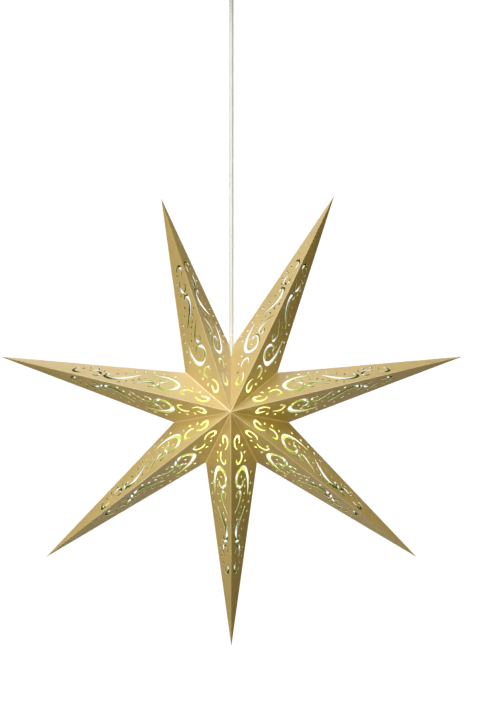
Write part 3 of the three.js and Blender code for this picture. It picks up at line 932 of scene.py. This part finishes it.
def makeScrews():
    for side, word in ((-1, "left"), (1, "right")):
        screw = spun(f"canopyScrew_{word}", rose["screwHead"], closed=False, steps=40, ease=0.25)
        cutSlot(screw, **rose["screwSlot"])
        foot = Matrix.Translation([v * mm for v in rose["screwFoot"]])
        screw.data.transform(foot @ Matrix.Rotation(math.pi / 2, 4, "Y"))
        if side < 0:
            screw.data.transform(Matrix.Rotation(math.pi, 4, "Z"))
        fit(screw, f"canopy_screw_{word}", "ceiling", zincSteel)
    for side, word in ((-1, "live"), (1, "neutral")):
        screw = spun(f"terminalScrew_{word}", rose["terminalHead"], closed=False, steps=32, ease=0.25)
        cutSlot(screw, **rose["terminalSlot"])
        x, y, z = rose["terminalFoot"]
        screw.data.transform(Matrix.Translation((x * mm, side * y * mm, z * mm)))
        fit(screw, f"terminal_screw_{word}", "ceiling", stampedBrass)


def makeRose():
    cup = spun("canopyCup", rose["cup"], steps=96, ease=0.6)
    fit(cup, "canopy_cup", "ceiling", enamelWhite)
    gland = spun("canopyGland", rose["gland"], steps=96)
    knurl(gland, rose["glandFlutes"])
    fit(gland, "canopy_gland", "ceiling", nylonWhite)
    makeBead()
    tail = tube("cordTail", rose["tail"], cord["radius"] / mm, cord["bevelSteps"])
    fit(tail, "cord_tail", "ceiling", flexWhite)
    for node, name, width, slotName, material in (
            ("ceiling_bracket", "ceilingBracket", 0.35, "zinc_steel", zincSteel),
            ("gland_lock_nut", "glandLockNut", 0.5, "nylon_white", nylonWhite),
            ("terminal_block", "terminalBlock", 0.7, "nylon_white", nylonWhite)):
        fit(easedCopy(node, name, width), node, "ceiling", material)
    makeScrews()


makeRose()
print("ceiling rose made")

# Two twisted strands run from a hole on each side of the open seam to the middle, in millimetres.
tie = {
    "height": 96.0, "holeInset": 5.0, "inFrontOfSheet": 1.45, "inFrontOfCord": -3.6, "fromMiddle": 0.3,
    "strand": 0.34, "lay": 0.30, "twists": 5, "steps": 40,
}


def makeTie(side, word, facetBody):
    tip, notch = tipAndNotch(*((1, "left") if side > 0 else (star["points"], "right")))
    crown = starCentre + Vector((0, -star["halfDepth"], 0))
    level = starCentre.z + tie["height"] * mm
    edge = notch.lerp(tip, (level - notch.z) / (tip.z - notch.z))
    along = (tip - notch).normalized()
    toCrown = crown - edge
    inward = (toCrown - along * toCrown.dot(along)).normalized()
    hole = edge + inward * tie["holeInset"] * mm
    front = hole.y / mm - tie["inFrontOfSheet"]
    start = Vector((hole.x / mm, front, hole.z / mm))
    middle = Vector((side * tie["fromMiddle"], min(front, tie["inFrontOfCord"]), level / mm))
    strands = []
    for phase in (0.0, math.pi):
        points = []
        for t in layered(0, 1, tie["steps"]):
            turn = phase + t * tie["twists"] * 2 * math.pi
            centre = start.lerp(middle, t)
            points.append((centre.x, centre.y + tie["lay"] * math.cos(turn),
                           centre.z + tie["lay"] * math.sin(turn)))
        strands.append(tube(f"tieStrand_{word}_{len(strands)}", points, tie["strand"], 2))
    bpy.ops.object.select_all(action="DESELECT")
    for strand in strands:
        strand.select_set(True)
    bpy.context.view_layer.objects.active = strands[0]
    bpy.ops.object.join()
    piece = bpy.context.object
    piece.name = f"seamTie_{word}"
    fit(piece, f"seam_tie_{word}", facetBody, cottonWhite)


makeTie(-1, "left", "point_7_front_right")
makeTie(1, "right", "point_1_front_left")
print("seam tied")

# The floor and the air shine white for the camera only, so they don't light the star from below.
room = {
    "floorDrop": -1.9, "floorRadius": 1.9, "floorSides": 96, "floorGlow": 1.15, "sky": 1.05, "ambient": 0.035,
    "floorLight": (0.62, 0.62, 0.61), "floorDark": (0.58, 0.58, 0.57), "lightSpread": 70,
}
lights = {
    "keyLight": {"place": (-0.52, -0.9, 0.80), "size": 1.5, "power": 8.6, "colour": (0.88, 0.96, 1.22)},
    "frontLight": {"place": (0, -2.7, -0.3), "size": 1.3, "power": 10.2, "colour": (1.0, 0.93, 0.46)},
    "lowLight": {"place": (-1.35, -0.9, -1.25), "size": 0.9, "power": 1.8},
    "backLight": {"place": (-0.4, 1.5, 0.6), "size": 1.5, "power": 2.2},
    "rearLight": {"place": (0.4, 2.7, 0.1), "size": 1.3, "power": 9.0, "aim": Vector((0, 0, -0.45))},
}


def softLight(name, place, size, power, colour=(1, 1, 1), aim=starCentre):
    bpy.ops.object.light_add(type="AREA", location=place)
    light = bpy.context.object
    light.name = name
    light.data.shape = "DISK"
    light.data.size = size
    light.data.energy = power
    light.data.color = colour
    light.data.spread = math.radians(room["lightSpread"])
    light.rotation_euler = (aim - Vector(place)).to_track_quat("-Z", "Y").to_euler()


def makeFloorFinish():
    material, tree, shader, _ = newMaterial("paleFloor")
    surface = grainOn(tree, room["floorLight"], room["floorDark"], 0.7, 0.05, 2.0, 60.0)
    tree.links.new(surface["Color"], shader.inputs["Base Color"])
    tree.links.new(surface["Color"], shader.inputs["Emission Color"])
    seen = tree.nodes.new("ShaderNodeLightPath").outputs["Is Camera Ray"]
    tree.links.new(mathNode(tree, "MULTIPLY", seen, room["floorGlow"]), shader.inputs["Emission Strength"])
    return material


def makeFloor():
    bpy.ops.mesh.primitive_circle_add(vertices=room["floorSides"], radius=room["floorRadius"],
                                      fill_type="NGON", location=(0, 0, room["floorDrop"]))
    floor = bpy.context.object
    floor.name = "paleFloor"
    floor.data.materials.append(makeFloorFinish())


def makeAir():
    scene.world = bpy.data.worlds.new("studio")
    scene.world.use_nodes = True
    tree = scene.world.node_tree
    sky = tree.nodes["Background"]
    sky.inputs[0].default_value = (1, 1, 1, 1)
    seen = tree.nodes.new("ShaderNodeLightPath").outputs["Is Camera Ray"]
    tree.links.new(mapRange(tree, seen, 0.0, 1.0, room["ambient"], room["sky"]), sky.inputs[1])
    scene.view_settings.view_transform = "Standard"


makeFloor()
makeAir()
for name, values in lights.items():
    softLight(name, **values)
print("room lit")

# The light of the bulb itself, which rides with it.
lamp = {"centre": (0, 0, -0.613), "radius": 0.011, "power": 0.36, "colour": (1.0, 0.97, 0.80)}


def makeLampLight():
    bpy.ops.object.light_add(type="POINT", location=lamp["centre"])
    light = bpy.context.object
    light.name = "lampGlow"
    light.data.energy = lamp["power"]
    light.data.color = lamp["colour"]
    light.data.shadow_soft_size = lamp["radius"]
    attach(light, "bulb")


makeLampLight()
print("lamp lit")
